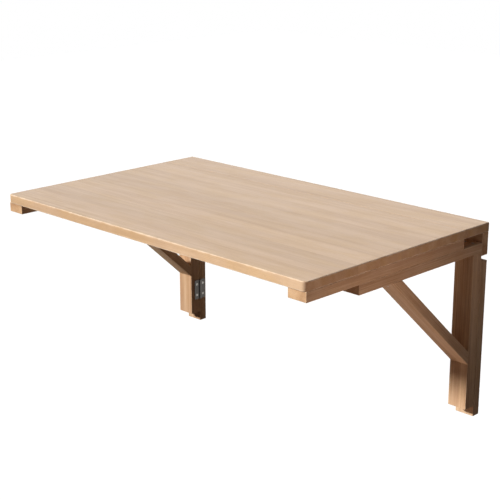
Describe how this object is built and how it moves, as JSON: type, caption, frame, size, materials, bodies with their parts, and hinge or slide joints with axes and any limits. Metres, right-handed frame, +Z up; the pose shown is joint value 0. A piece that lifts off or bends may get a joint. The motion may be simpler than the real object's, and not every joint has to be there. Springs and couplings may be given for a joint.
{
  "type": "wall mounted drop leaf table",
  "caption": "Wall table with a rear shelf strip and a hinged wooden leaf, held up by triangular brackets that swing sideways on hinged wall plates.",
  "frame": {"origin": "middle of the wall rail's back face, on the wall plane", "axes": "+X along the wall to the right, +Y into the wall, +Z up"},
  "size_m": [0.973, 0.6, 0.46],
  "materials": {
    "top_wood": "clear satin lacquer on pale hardwood",
    "frame_wood": "matt clear lacquer on pale hardwood",
    "dowel_wood": "bare turned beech",
    "hinge_steel": "dark burnished steel",
    "zinc_screw": "zinc plated"
  },
  "bodies": {
    "wall_frame": {"bracket_hinge_pin_lower_left": "hinge_steel", "bracket_hinge_pin_lower_right": "hinge_steel", "bracket_hinge_pin_upper_left": "hinge_steel", "bracket_hinge_pin_upper_right": "hinge_steel", "leaf_hinge_pin_left": "hinge_steel", "leaf_hinge_pin_middle": "hinge_steel", "leaf_hinge_pin_right": "hinge_steel", "rear_shelf": "top_wood", "shelf_dowels": "dowel_wood", "shelf_hinge_plate_left": "hinge_steel", "shelf_hinge_plate_middle": "hinge_steel", "shelf_hinge_plate_right": "hinge_steel", "shelf_hinge_screws": "zinc_screw", "wall_hinge_plate_lower_left": "hinge_steel", "wall_hinge_plate_lower_right": "hinge_steel", "wall_hinge_plate_upper_left": "hinge_steel", "wall_hinge_plate_upper_right": "hinge_steel", "wall_hinge_screws_left": "zinc_screw", "wall_hinge_screws_right": "zinc_screw", "wall_plate_left": "frame_wood", "wall_plate_right": "frame_wood", "wall_rail": "frame_wood"},
    "leaf": {"drop_leaf": "top_wood", "leaf_batten_left": "frame_wood", "leaf_batten_right": "frame_wood", "batten_screws_left": "zinc_screw", "batten_screws_right": "zinc_screw", "leaf_hinge_screws": "zinc_screw", "leaf_hinge_plate_left": "hinge_steel", "leaf_hinge_plate_middle": "hinge_steel", "leaf_hinge_plate_right": "hinge_steel"},
    "bracket_left": {"upright_left": "frame_wood", "arm_left": "frame_wood", "brace_left": "frame_wood", "bracket_hinge_plate_upper_left": "hinge_steel", "bracket_hinge_plate_lower_left": "hinge_steel", "bracket_hinge_screws_left": "zinc_screw", "arm_screws_left": "zinc_screw", "brace_screws_left": "zinc_screw"},
    "bracket_right": {"upright_right": "frame_wood", "arm_right": "frame_wood", "brace_right": "frame_wood", "bracket_hinge_plate_upper_right": "hinge_steel", "bracket_hinge_plate_lower_right": "hinge_steel", "bracket_hinge_screws_right": "zinc_screw", "arm_screws_right": "zinc_screw", "brace_screws_right": "zinc_screw"}
  },
  "joints": [
    {"name": "leaf_lift", "type": "hinge", "parent": "wall_frame", "child": "leaf", "pos_m": [0, -0.0895, 0.0235], "axis": [-1, 0, 0], "range_deg": [0, 2]},
    {"name": "left_bracket_swing", "type": "hinge", "parent": "wall_frame", "child": "bracket_left", "pos_m": [-0.4345, -0.02225, 0], "axis": [0, 0, 1], "range_deg": [0, 90]},
    {"name": "right_bracket_swing", "type": "hinge", "parent": "wall_frame", "child": "bracket_right", "pos_m": [0.4345, -0.02225, 0], "axis": [0, 0, -1], "range_deg": [0, 90]}
  ]
}
